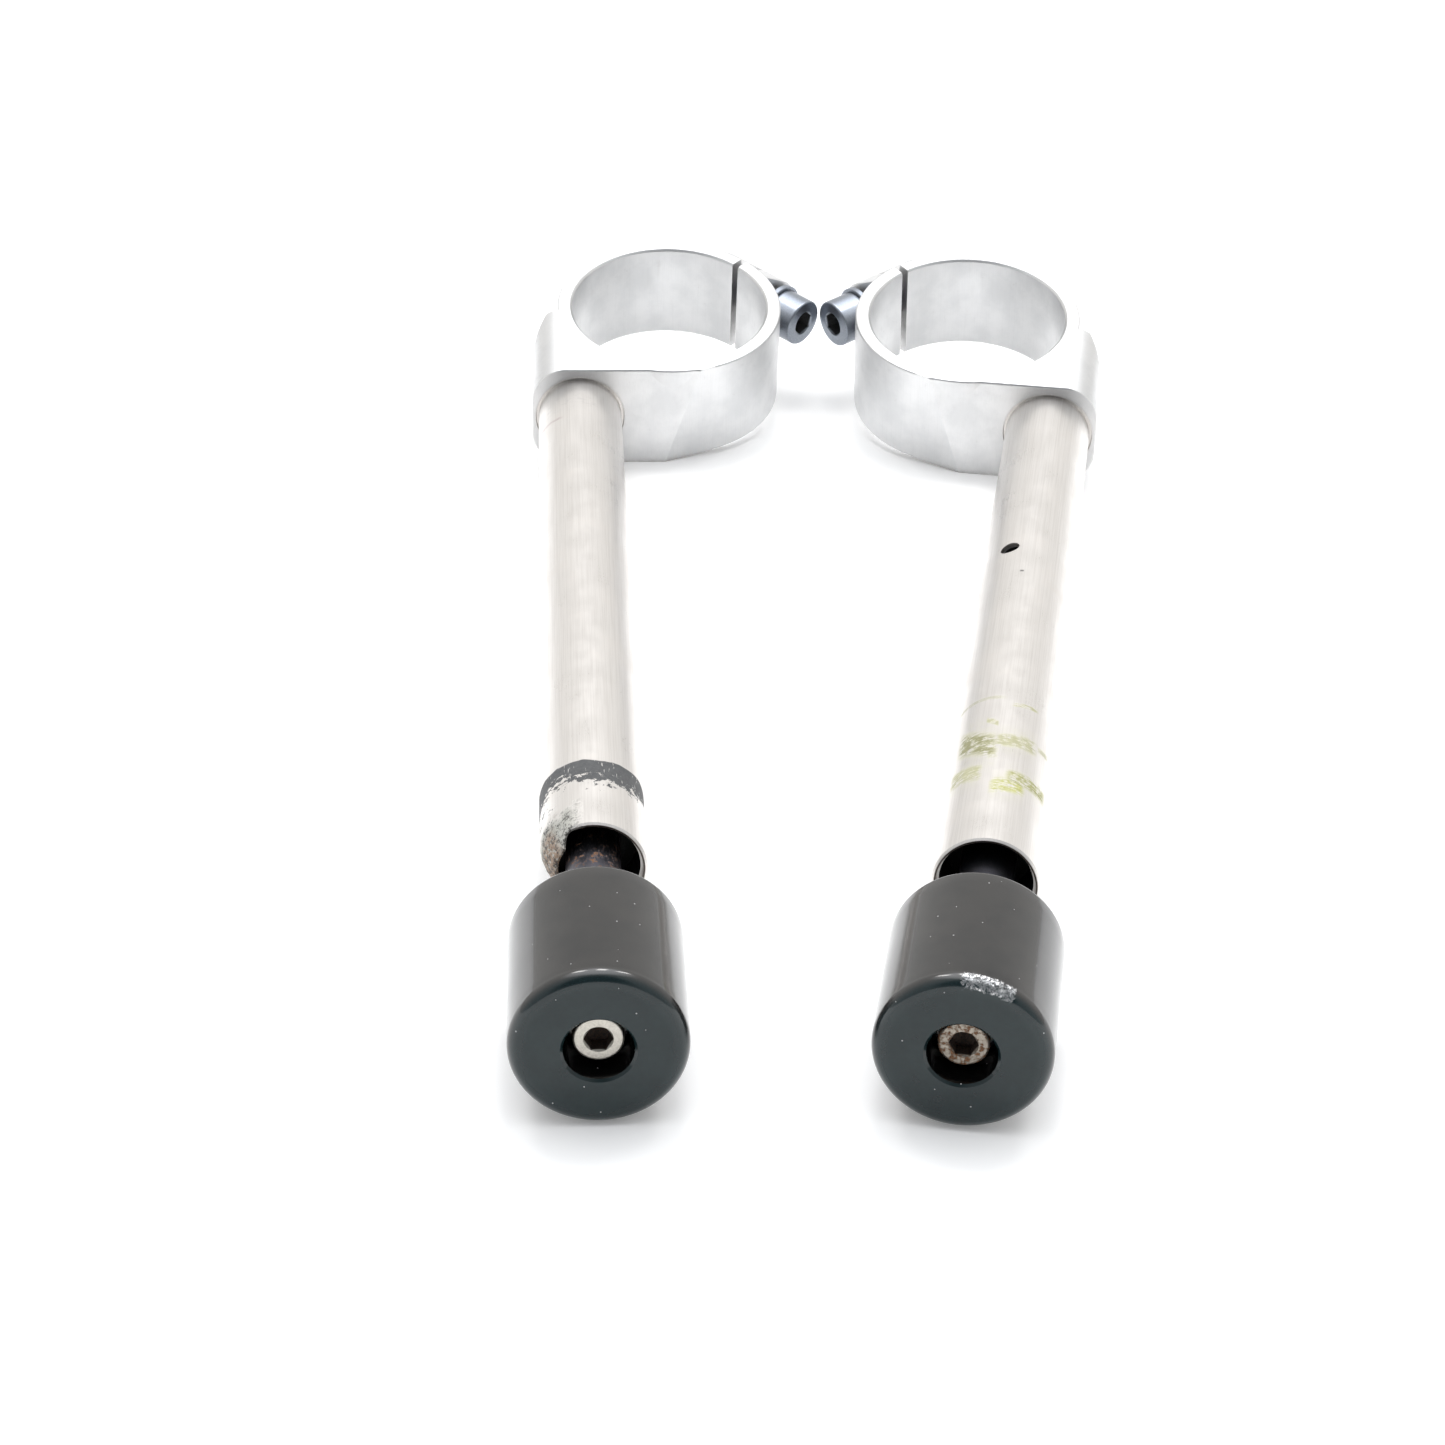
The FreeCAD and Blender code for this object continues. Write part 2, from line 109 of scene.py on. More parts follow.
# Light: the sky as radiance, and three lamps overhead
SKY_FRONT = (0.52, 0.55, 0.57, 1.0)
SKY_BACK = (0.93, 0.92, 0.90, 1.0)
SKY_TOP = (2.7, 2.75, 2.85, 1.0)
FLOOR_GLOW = 0.16
SKY_PHOTOGRAPHER = (0.10, 0.10, 0.11, 1.0)
LAMPS_ACROSS = {"lamp_left": -0.45, "lamp_middle": 0.0, "lamp_right": 0.45}
LAMP_BEHIND = 0.35
LAMP_HEIGHT = 1.1
LAMP_SIZE = (0.18, 0.30)
LAMP_POWER = 1.6
LAMP_COLOUR = (1.0, 0.98, 0.95)
FLOOR_REACH = 4.0


class Space:
    """A frame in millimetres along an axis of one side. The right side is worked in its mirror image."""

    def __init__(self, side, mount, offset_mm=0.0):
        self.mirror = Vector((1 if side == "left" else -1, 1, 1))
        self.along = (Vector(mount["axis"]) * self.mirror).normalized()
        up = Vector((0, 0, 1))
        if abs(self.along.z) > 0.5:
            up = Vector((0, 1, 0))
        self.up = (up - self.along * up.dot(self.along)).normalized()
        self.inner = self.up.cross(self.along)
        self.origin = Vector(mount["pos_m"]) * self.mirror + self.along * offset_mm * MM
        self.turn = Matrix((self.inner, self.up, self.along))

    def point(self, x, y, z):
        """A point of this frame, in metres in the CAD frame."""
        return (self.turn.transposed() @ Vector((x, y, z)) * MM + self.origin) * self.mirror


def bar_space(side):
    seat = MOUNTS[side + "_grip_seat"]
    return Space(side, seat, seat["dims"]["length_mm"] / 2 + TUBE_CHAMFER)


BARS = {side: bar_space(side) for side in SIDES}
CLAMPS = {side: Space(side, MOUNTS[side + "_fork_bore"]) for side in SIDES}
BOLTS = {side: Space(side, JOINTS[side + "_pinch_turn"]) for side in SIDES}


# ---------------------------------------------------------------------------------------------- materials

class Paint:
    """One node material, with short calls for the nodes that it is made of."""

    def __init__(self, name, **finish):
        self.material = bpy.data.materials.new(name)
        self.material.use_nodes = True
        self.tree = self.material.node_tree
        self.shader = self.tree.nodes["Principled BSDF"]
        for socket, value in finish.items():
            self.shader.inputs[socket.replace("_", " ")].default_value = value

    def node(self, kind, inputs=(), output=0, **settings):
        made = self.tree.nodes.new("ShaderNode" + kind)
        for key, value in settings.items():
            setattr(made, key, value)
        for socket, value in dict(inputs).items():
            if isinstance(value, bpy.types.NodeSocket):
                self.tree.links.new(value, made.inputs[socket])
            else:
                made.inputs[socket].default_value = value
        return made.outputs[output]

    def maths(self, operation, *values):
        return self.node("Math", enumerate(values), operation=operation)

    def ramp(self, value, low, high, start=0.0, end=1.0):
        """A smooth step from start, where the value is low, to end, where it is high."""
        inputs = {"Value": value, "From Min": low, "From Max": high, "To Min": start, "To Max": end}
        return self.node("MapRange", inputs, interpolation_type="SMOOTHSTEP")

    def near(self, value, centre, reach, soft):
        """1 within reach of the centre, and 0 from reach + soft outwards."""
        away = self.maths("ABSOLUTE", self.maths("SUBTRACT", value, centre))
        return self.ramp(away, reach, reach + soft, 1.0, 0.0)

    def every(self, *masks):
        product = masks[0]
        for mask in masks[1:]:
            product = self.maths("MULTIPLY", product, mask)
        return product

    def most(self, *masks):
        largest = masks[0]
        for mask in masks[1:]:
            largest = self.maths("MAXIMUM", largest, mask)
        return largest

    def mix(self, factor, a, b):
        return self.node("Mix", {0: factor, 6: a, 7: b}, output=2, data_type="RGBA")

    def stretched(self, where, x, y, z):
        return self.node("VectorMath", {0: where, 1: (x, y, z)}, operation="MULTIPLY")

    def noise(self, where, scale, detail=3.0, roughness=0.55):
        inputs = {"Vector": where, "Scale": scale, "Detail": detail, "Roughness": roughness}
        return self.node("TexNoise", inputs)

    def where(self, space):
        """The surface point in that frame, in millimetres."""
        there = self.node("TexCoord", output=3)
        move = -(space.turn @ space.origin) / MM
        inputs = {
            "Vector": there, "Location": move, "Rotation": space.turn.to_euler(),
            "Scale": space.mirror / MM,
        }
        return self.node("Mapping", inputs, vector_type="POINT")

    def parts(self, where):
        split = self.tree.nodes.new("ShaderNodeSeparateXYZ")
        self.tree.links.new(where, split.inputs[0])
        return split.outputs[0], split.outputs[1], split.outputs[2]

    def angle(self, x, y):
        """Degrees around the axis, from Y towards X."""
        return self.maths("MULTIPLY", self.maths("ARCTAN2", x, y), math.degrees(1))

    def radius(self, x, y):
        squares = self.maths("ADD", self.maths("MULTIPLY", x, x), self.maths("MULTIPLY", y, y))
        return self.maths("SQRT", squares)

    def crevice(self, distance, low, high):
        """1 in a narrow corner and 0 on an open surface."""
        open_share = self.node("AmbientOcclusion", {"Distance": distance}, output=1, samples=6)
        return self.ramp(open_share, low, high, 1.0, 0.0)

    def edge(self, radius, low, high):
        """1 along a sharp outer edge, from how far rounding would turn the surface there."""
        rounded = self.node("Bevel", {"Radius": radius}, samples=6)
        plain = self.node("NewGeometry", output=3)
        turn = self.node("VectorMath", {0: rounded, 1: plain}, output=1, operation="DOT_PRODUCT")
        return self.ramp(turn, low, high, 1.0, 0.0)

    def colour(self, value):
        self.tree.links.new(value, self.shader.inputs["Base Color"])

    def rough(self, value):
        self.tree.links.new(value, self.shader.inputs["Roughness"])

    def metal(self, value):
        self.tree.links.new(value, self.shader.inputs["Metallic"])

    def sheen(self, value):
        """How strongly a surface that isn't metal reflects. 0.5 is the usual strength."""
        self.tree.links.new(value, self.shader.inputs["Specular IOR Level"])

    def bump(self, height, distance, strength=1.0, rounding=0.0):
        inputs = {"Height": height, "Distance": distance, "Strength": strength}
        if rounding:
            inputs["Normal"] = self.node("Bevel", {"Radius": rounding}, samples=6)
        self.tree.links.new(self.node("Bump", inputs), self.shader.inputs["Normal"])


def grey(level, warm=0.0):
    """A near-grey colour, warmer above zero and cooler below it."""
    return (level * (1 + warm), level, level * (1 - warm), 1.0)


# Near black painted inside the tube's bore, as shade.
SHADED_BORE = grey(0.012)
# Dark brown painted on the tube's end face and mouth step, as shade.
LIP_SHADE = (0.075, 0.06, 0.05, 1.0)
GRIP_LINING = (grey(0.055, -0.05), grey(0.10, -0.03))
# Darker teal for a weight's front face than for its side: painted shade on one finish.
FRONT_SHADE_TEAL = ((0.009, 0.021, 0.023, 1.0), (0.006, 0.015, 0.017, 1.0))
ABRADED = (0.42, 0.43, 0.39, 1.0)
OXIDE = (0.30, 0.17, 0.09, 1.0)
PITTED = (0.07, 0.065, 0.06, 1.0)
SCRATCHED = (0.46, 0.36, 0.37, 1.0)
STAIN_YELLOW = (0.53, 0.53, 0.20, 1.0)
STAIN_OLIVE = (0.37, 0.37, 0.15, 1.0)
STAIN_BROWN = (0.20, 0.19, 0.10, 1.0)
STAIN_HALO = (0.76, 0.75, 0.60, 1.0)
RUST_DARK = (0.10, 0.045, 0.02, 1.0)
RUST_LIGHT = (0.30, 0.15, 0.07, 1.0)
ZINC = (0.34, 0.37, 0.42, 1.0)
SPACER_STEEL = (0.15, 0.15, 0.175, 1.0)
WASHER_STEEL = (0.5, 0.49, 0.47, 1.0)
SCREW_STEEL = {"left": (0.60, 0.57, 0.51, 1.0), "right": (0.36, 0.32, 0.27, 1.0)}
# Dark brown painted inside a weight screw's hex socket, as shade.
SCREW_SOCKET_SHADE = (0.085, 0.05, 0.032, 1.0)
SCREW_RUST = {"left": 0.03, "right": 0.3}
SPACER_RUST = {"left": 0.24, "right": 0.04}


def clamp_aluminium(side):
    """Satin machined aluminium, with tool marks along the fork's axis and around it on the end faces."""
    paint = Paint(side + "_clamp_aluminium", Metallic=1.0)
    where = paint.where(CLAMPS[side])
    x, y, z = paint.parts(where)
    lines = paint.noise(paint.stretched(where, 1.0, 1.0, 0.03), 2.6, 4.0)
    fine_lines = paint.noise(paint.stretched(where, 1.0, 1.0, 0.015), 9.0, 2.0)
    rings = paint.noise(paint.node("CombineXYZ", {0: paint.radius(x, y)}), 5.0, 2.0)
    end_face = paint.ramp(paint.maths("ABSOLUTE", z), CLAMP_HEIGHT / 2 - 0.5, CLAMP_HEIGHT / 2 - 0.1)
    marks = paint.node("Mix", {0: end_face, 2: fine_lines, 3: rings}, data_type="FLOAT")
    smudge = paint.noise(where, 0.11, 5.0, 0.6)
    grime = paint.noise(where, 0.5, 4.0, 0.7)
    worn_and_lit_edge = paint.edge(0.0007, 0.86, 0.97)
    # The crevice mask below drives painted shade in the clamp's narrow corners.
    corner = paint.crevice(0.0025, 0.35, 0.8)

    colour = paint.mix(paint.ramp(smudge, 0.35, 0.68), grey(0.74, -0.002), grey(0.68, -0.006))
    colour = paint.mix(paint.ramp(lines, 0.45, 0.75, 0.0, 0.22), colour, grey(0.62))
    colour = paint.mix(paint.ramp(grime, 0.64, 0.8, 0.0, 0.3), colour, grey(0.5, 0.05))
    # Lighter along sharp outer edges: partly rubbed wear, partly a painted highlight.
    colour = paint.mix(worn_and_lit_edge, colour, grey(0.88, 0.01))
    # Painted shade: narrow corners and the joint around the tube darkened, more deeply where the grime noise is
    # high.
    colour = paint.mix(paint.every(corner, paint.ramp(grime, 0.2, 0.6, 0.3, 0.8)), colour, grey(0.32, 0.05))
    paint.colour(colour)
    rough = paint.ramp(smudge, 0.3, 0.7, 0.36, 0.42)
    paint.rough(paint.maths("ADD", rough, paint.ramp(grime, 0.5, 0.8, 0.0, 0.14)))
    paint.bump(marks, 0.00004, 0.6, 0.0004)
    return paint.material


def bar_aluminium(side):
    """Drawn aluminium tube with grain along the bar, a lip painted dark as shade and a bore painted black as
    shade, before its wear.

    Gives the paint, the surface point, its place as (along, angle), and the colour, roughness, fine grain and
    bore mask so far."""
    paint = Paint(side + "_bar_aluminium")
    where = paint.where(BARS[side])
    x, y, z = paint.parts(where)
    angle = paint.angle(x, y)
    grain = paint.noise(paint.stretched(where, 1.0, 1.0, 0.012), 3.2, 5.0, 0.6)
    hairs = paint.noise(paint.stretched(where, 1.0, 1.0, 0.02), 14.0, 2.0)
    patches = paint.noise(where, 0.09, 4.0, 0.6)
    scuffs = paint.noise(paint.stretched(where, 0.4, 0.4, 1.6), 1.1, 5.0, 0.65)

    colour = paint.mix(paint.ramp(grain, 0.35, 0.7), grey(0.76, 0.034), grey(0.68, 0.040))
    colour = paint.mix(paint.ramp(patches, 0.5, 0.75, 0.0, 0.4), colour, grey(0.71, 0.055))
    colour = paint.mix(paint.ramp(scuffs, 0.64, 0.78, 0.0, 0.3), colour, grey(0.6, 0.03))
    radius = paint.radius(x, y)
    if side == "left":
        radius = paint.node("Attribute", output=2, attribute_name="turned_radius")
    # Painted shade: the bore past the mouth's step is coloured near black and loses its reflection.
    inside = paint.every(
        paint.ramp(radius, MOUTH_R + 0.15, MOUTH_R + 0.5, 1.0, 0.0),
        paint.ramp(z, -MOUTH_STEP_DEPTH - 0.4, -MOUTH_STEP_DEPTH - 0.2, 1.0, 0.0),
    )
    lip = paint.every(paint.near(radius, MOUTH_STEP_R + 0.17, 0.14, 0.08), paint.ramp(z, -0.9, -0.7))
    # Painted shade on the end face and the wall of the mouth's step, patchy with the noise.
    colour = paint.mix(paint.every(lip, paint.ramp(patches, 0.2, 0.5, 0.6, 0.95)), colour, LIP_SHADE)
    paint.sheen(paint.maths("SUBTRACT", 0.5, paint.every(inside, 0.5)))
    rough = paint.ramp(patches, 0.3, 0.7, 0.26, 0.36)
    rough = paint.maths("ADD", rough, paint.ramp(hairs, 0.3, 0.7, 0.0, 0.08))
    return paint, where, (z, angle), colour, rough, hairs, inside


def stroke(paint, place, along, angle, length, width, slope=0.0):
    """A brushed mark around the bar: its middle, its length in degrees, and its width in millimetres."""
    z, around = place
    shift = paint.maths("MULTIPLY", paint.maths("SUBTRACT", around, angle), slope)
    level = paint.maths("SUBTRACT", z, shift)
    across = paint.near(level, -along, width * 0.35, width * 0.5)
    return paint.every(across, paint.near(around, angle, length * 0.36, length * 0.2))


# Wear on the left tube. The band of grip lining starts and ends here along the bar. The marks are rows of
# distance from the end, middle angle, length in degrees, width and slope.
BAND_START = -25.4
BAND_END = -16.5
LEFT_SCRATCH = (204.6, -52.0, 52.0, 1.1, 0.05)
LEFT_SMEAR = (214.0, -20.0, 90.0, 9.0)


def left_bar_aluminium():
    """The left tube has a torn band of dark grip lining, an abraded and rusty end, and a few scratches."""
    paint, where, place, colour, rough, hairs, inside = bar_aluminium("left")
    z, angle = place
    torn = paint.noise(paint.stretched(where, 0.36, 0.36, 0.42), 1.1, 9.0, 0.72)
    broad = paint.noise(where, 0.16, 2.0)
    scratch = paint.noise(paint.stretched(where, 0.9, 0.9, 0.10), 2.6, 3.0, 0.6)

    upper = paint.maths("ADD", BAND_START, paint.maths("MULTIPLY", paint.maths("ABSOLUTE", angle), -0.018))
    upper = paint.maths("ADD", upper, paint.ramp(broad, 0.3, 0.7, -0.5, 0.5))
    dip = paint.maths("MULTIPLY", paint.maths("ABSOLUTE", paint.maths("SUBTRACT", angle, 12.0)), -0.055)
    lower = paint.maths("ADD", paint.maths("ADD", BAND_END, dip), paint.ramp(torn, 0.3, 0.7, -4.2, 4.2))
    starts = paint.ramp(paint.maths("SUBTRACT", z, upper), -0.15, 0.15)
    lower = paint.maths("ADD", lower, paint.ramp(angle, -100.0, -45.0, 7.0, 0.0))
    ends = paint.ramp(paint.maths("SUBTRACT", z, lower), -0.15, 0.15, 1.0, 0.0)
    missing = paint.ramp(scratch, 0.64, 0.69, 1.0, 0.15)
    band = paint.every(starts, ends, missing)

    mottle = paint.noise(where, 1.1, 8.0, 0.78)
    end_side = paint.near(angle, -76.0, 44.0, 26.0)
    reach = paint.ramp(broad, 0.3, 0.7, -10.5, -6.0)
    near_end = paint.ramp(paint.maths("SUBTRACT", z, reach), -2.5, 2.5)
    abraded = paint.every(end_side, near_end)
    pits = paint.every(abraded, paint.ramp(mottle, 0.49, 0.57))
    low_end = paint.every(paint.near(angle, -92.0, 26.0, 22.0), paint.ramp(z, -8.0, -4.0))
    rust = paint.every(low_end, paint.ramp(paint.noise(where, 0.9, 5.0, 0.7), 0.36, 0.52))
    flakes = paint.every(paint.near(z, -12.0, 9.0, 3.0), paint.near(angle, -78.0, 26.0, 18.0),
                         paint.ramp(torn, 0.56, 0.62))
    dots = paint.every(paint.near(z, -4.5, 2.5, 1.5), paint.near(angle, 47.0, 8.0, 5.0),
                       paint.ramp(mottle, 0.62, 0.68))
    scrape = stroke(paint, place, *LEFT_SCRATCH)
    scrape = paint.every(scrape, paint.ramp(mottle, 0.4, 0.6, 0.25, 1.0))
    faint = paint.every(stroke(paint, place, *LEFT_SMEAR), paint.ramp(torn, 0.5, 0.68))

    colour = paint.mix(paint.every(faint, 0.35), colour, grey(0.5, 0.02))
    colour = paint.mix(paint.every(scrape, 0.55), colour, SCRATCHED)
    colour = paint.mix(paint.every(abraded, 0.7), colour, ABRADED)
    colour = paint.mix(paint.every(rust, 0.8), colour, OXIDE)
    colour = paint.mix(paint.every(pits, 0.9), colour, PITTED)
    lining = paint.most(band, flakes, dots)
    colour = paint.mix(lining, colour, paint.mix(paint.ramp(mottle, 0.3, 0.7), *GRIP_LINING))
    # The bore, painted near black as shade.
    paint.colour(paint.mix(inside, colour, SHADED_BORE))
    dull = paint.most(lining, paint.every(abraded, 0.8), inside)
    paint.rough(paint.node("Mix", {0: dull, 2: rough, 3: 0.62}, data_type="FLOAT"))
    paint.metal(paint.maths("SUBTRACT", 1.0, paint.most(lining, rust, inside)))
    height = paint.maths("ADD", paint.maths("MULTIPLY", hairs, 0.05), paint.maths("MULTIPLY", lining, 0.6))
    paint.bump(paint.maths("SUBTRACT", height, pits), 0.00015, 0.7)
    return paint.material


# Stains on the right tube: distance from the end, middle angle, length, width, slope, strength, and how brown
STAINS = (
    (60.2, 36.0, 66.0, 1.1, -0.02, 0.45, 0.6),
    (57.5, -22.0, 32.0, 1.3, 0.05, 0.75, 0.35),
    (49.0, 14.0, 15.0, 1.8, -0.15, 0.7, 0.35),
    (40.5, 30.0, 52.0, 7.5, -0.12, 0.95, 0.75),
    (41.3, -16.0, 52.0, 4.2, 0.04, 0.75, 0.45),
    (43.5, -52.0, 20.0, 1.5, 0.05, 0.55, 0.5),
    (28.5, 40.0, 44.0, 5.0, -0.05, 0.7, 0.25),
    (22.5, -12.0, 40.0, 4.4, 0.05, 1.0, 0.0),
    (26.8, -36.0, 56.0, 3.8, 0.02, 1.0, 0.45),
)
STAINS_WITHOUT_HALO = 3

# The pit in the right tube: its distance along the bar and its angle
PIT_AT = -121.7
PIT_ANGLE = 5.0


def right_bar_aluminium():
    """The right tube has rubbed yellow-green paint in strokes around it, and a small dark pit."""
    paint, where, place, colour, rough, hairs, inside = bar_aluminium("right")
    z, angle = place
    streaks = paint.noise(paint.stretched(where, 0.35, 0.35, 2.4), 1.0, 6.0, 0.7)
    blotch = paint.noise(where, 0.5, 5.0, 0.65)
    breaks = paint.ramp(paint.maths("ADD", streaks, blotch), 0.80, 1.06)
    stained, brown = [], []
    for along, middle, length, width, slope, strength, brownness in STAINS:
        mark = paint.every(stroke(paint, place, along, middle, length, width, slope), breaks)
        stained.append(paint.every(mark, strength))
        brown.append(paint.every(mark, brownness))
    stain = paint.most(*stained)
    tint = paint.mix(paint.ramp(streaks, 0.35, 0.7), STAIN_YELLOW, STAIN_OLIVE)
    tint = paint.mix(paint.most(*brown), tint, STAIN_BROWN)
    haloed = STAINS[STAINS_WITHOUT_HALO:]
    halo = paint.most(*[stroke(paint, place, *row[:3], row[3] * 2.2, row[4]) for row in haloed])
    colour = paint.mix(paint.every(halo, paint.ramp(blotch, 0.3, 0.7), 0.3), colour, STAIN_HALO)
    colour = paint.mix(stain, colour, tint)
    pit = paint.every(paint.near(z, PIT_AT, 0.25, 0.3), paint.near(angle, PIT_ANGLE, 1.5, 1.5))
    colour = paint.mix(paint.every(pit, 0.8), colour, grey(0.12))
    # The bore, painted near black as shade.
    paint.colour(paint.mix(inside, colour, SHADED_BORE))
    dull = paint.most(stain, inside)
    paint.rough(paint.node("Mix", {0: dull, 2: rough, 3: 0.55}, data_type="FLOAT"))
    paint.metal(paint.maths("SUBTRACT", 1.0, paint.most(inside, paint.every(stain, 0.7))))
    height = paint.maths("ADD", paint.maths("MULTIPLY", hairs, 0.05), paint.maths("MULTIPLY", stain, 0.2))
    paint.bump(height, 0.00012, 0.6)
    return paint.material


def black_anodised(side):
    """Black anodised weight, painted darker and greener on its front face as shade, with turning marks, dust and,
    on the right, a scraped rim.
    """
    paint = Paint(side + "_black_anodised", IOR=1.5, Coat_Weight=0.3, Coat_Roughness=0.04)
    where = paint.where(BARS[side])
    x, y, z = paint.parts(where)
    front = WEIGHT_GAP[side] + WEIGHT_LENGTH
    radius = paint.radius(x, y)
    angle = paint.angle(x, y)
    on_front = paint.ramp(z, front - 1.6, front - 0.3)
    turning = paint.noise(paint.node("CombineXYZ", {0: radius, 1: z}), 6.0, 2.0)
    cloud = paint.noise(where, 0.13, 4.0, 0.6)
    dust = paint.node("TexVoronoi", {"Vector": where, "Scale": 0.3}, output=0)
    speck = paint.ramp(dust, 0.03, 0.06, 1.0, 0.0)
    fine_dust = paint.ramp(paint.noise(where, 5.5, 2.0), 0.72, 0.78, 0.0, 0.25)

    side_colour = paint.mix(paint.ramp(cloud, 0.3, 0.7), grey(0.027, 0.05), grey(0.018, 0.0))
    front_shade_colour = paint.mix(paint.ramp(cloud, 0.3, 0.7), *FRONT_SHADE_TEAL)
    # Painted shade: inside the counterbore the weight is coloured near black and reflects less.
    counterbore_shade = paint.every(
        paint.ramp(radius, COUNTERBORE_R + 0.2, COUNTERBORE_R + 0.4, 1.0, 0.0),
        paint.ramp(z, front - 0.7, front - 0.4, 1.0, 0.0),
    )
    # Painted shade: the front face takes the darker teal.
    colour = paint.mix(on_front, side_colour, front_shade_colour)
    # The counterbore, painted near black as shade.
    colour = paint.mix(counterbore_shade, colour, grey(0.004))
    colour = paint.mix(paint.every(fine_dust, paint.maths("SUBTRACT", 1.0, on_front)), colour, grey(0.2))
    colour = paint.mix(paint.every(speck, 0.8), colour, grey(0.55))
    height = paint.every(turning, 0.08)
    if side == "right":
        chips = paint.noise(paint.stretched(where, 1.0, 1.0, 1.6), 1.5, 9.0, 0.8)
        rim = paint.every(paint.near(z, front - 1.1, 0.8, 1.6), paint.ramp(radius, 13.6, 15.6))
        patches = [paint.near(angle, middle, reach, reach * 1.9) for middle, reach, _ in SCRAPES]
        zone = paint.every(rim, paint.most(*patches), 0.42)
        scraped = paint.ramp(paint.maths("ADD", zone, chips), 0.84, 0.98)
        bright = paint.mix(paint.ramp(chips, 0.4, 0.6), (0.30, 0.33, 0.35, 1.0), grey(0.72))
        colour = paint.mix(scraped, colour, bright)
        height = paint.maths("SUBTRACT", height, paint.every(scraped, 0.4))
        paint.metal(scraped)
    paint.colour(colour)
    on_rim = paint.every(paint.near(z, front - 1.4, 0.8, 0.9), paint.ramp(radius, 13.6, 15.0))
    shade = paint.most(paint.every(on_front, 0.12), paint.every(counterbore_shade, 0.3))
    paint.sheen(paint.maths("ADD", paint.maths("SUBTRACT", 0.4, shade), paint.every(on_rim, 0.25)))
    paint.rough(paint.maths("ADD", paint.ramp(cloud, 0.3, 0.7, 0.13, 0.17), paint.every(speck, 0.3)))
    paint.bump(height, 0.00012, 0.4)
    return paint.material


def steel(name, base, rust_share, shine, space, socket=None):
    """Bright or plated steel, in a space along the piece's axis. The rust share is how much of it has rusted.

    A socket is given as its radius, the distance of its rim along the axis, and the painted shade colour inside
    it."""
    paint = Paint(name)
    where = paint.where(space)
    x, y, z = paint.parts(where)
    spots = paint.noise(where, 0.8, 6.0, 0.7)
    fine = paint.noise(where, 3.5, 4.0, 0.6)
    turning = paint.noise(paint.node("CombineXYZ", {0: paint.radius(x, y), 1: z}), 8.0, 2.0)
    corner = paint.crevice(0.0016, 0.3, 0.85)
    rust = paint.maths("ADD", spots, paint.every(corner, 0.25))
    rust = paint.ramp(rust, 0.78 - rust_share, 0.88 - rust_share)
    colour = paint.mix(paint.ramp(fine, 0.35, 0.7, 0.0, 0.5), base, tuple(0.6 * c for c in base[:3]) + (1.0,))
    rusty = paint.mix(paint.ramp(fine, 0.3, 0.7), RUST_DARK, RUST_LIGHT)
    colour = paint.mix(rust, colour, rusty)
    # Painted shade: narrow corners darkened towards black. The rust above is the piece's own.
    colour = paint.mix(paint.every(corner, 0.75), colour, grey(0.03, 0.1))
    if socket:
        radius, rim, inside = socket
        # Painted shade: the inside of the hex socket takes the given dark colour and is dull like rust.
        socket_shade = paint.every(
            paint.ramp(paint.radius(x, y), radius, radius + 0.15, 1.0, 0.0),
            paint.ramp(z, rim - 0.6, rim - 0.1, 1.0, 0.0),
        )
        colour = paint.mix(socket_shade, colour, paint.mix(paint.ramp(fine, 0.35, 0.65), inside, grey(0.02, 0.1)))
        rust = paint.most(rust, socket_shade)
    paint.colour(colour)
    paint.metal(paint.maths("SUBTRACT", 1.0, rust))
    clean = paint.ramp(fine, 0.3, 0.7, shine, shine + 0.12)
    paint.rough(paint.node("Mix", {0: rust, 2: clean, 3: 0.8}, data_type="FLOAT"))
    height = paint.maths("ADD", paint.maths("MULTIPLY", turning, 0.1), paint.every(rust, fine))
    paint.bump(height, 0.0001, 0.6)
    return paint.material


def rubber():
    """Dusty black rubber."""
    paint = Paint("expander_rubber")
    where = paint.where(BARS["left"])
    pores = paint.noise(where, 4.0, 4.0)
    dust = paint.noise(where, 0.4, 4.0)
    paint.colour(paint.mix(paint.ramp(dust, 0.4, 0.75, 0.0, 0.5), grey(0.022), grey(0.07, 0.05)))
    paint.rough(paint.ramp(dust, 0.3, 0.7, 0.62, 0.8))
    paint.bump(pores, 0.0001, 0.5)
    return paint.material


# ------------------------------------------------------------------------------------------------- meshes

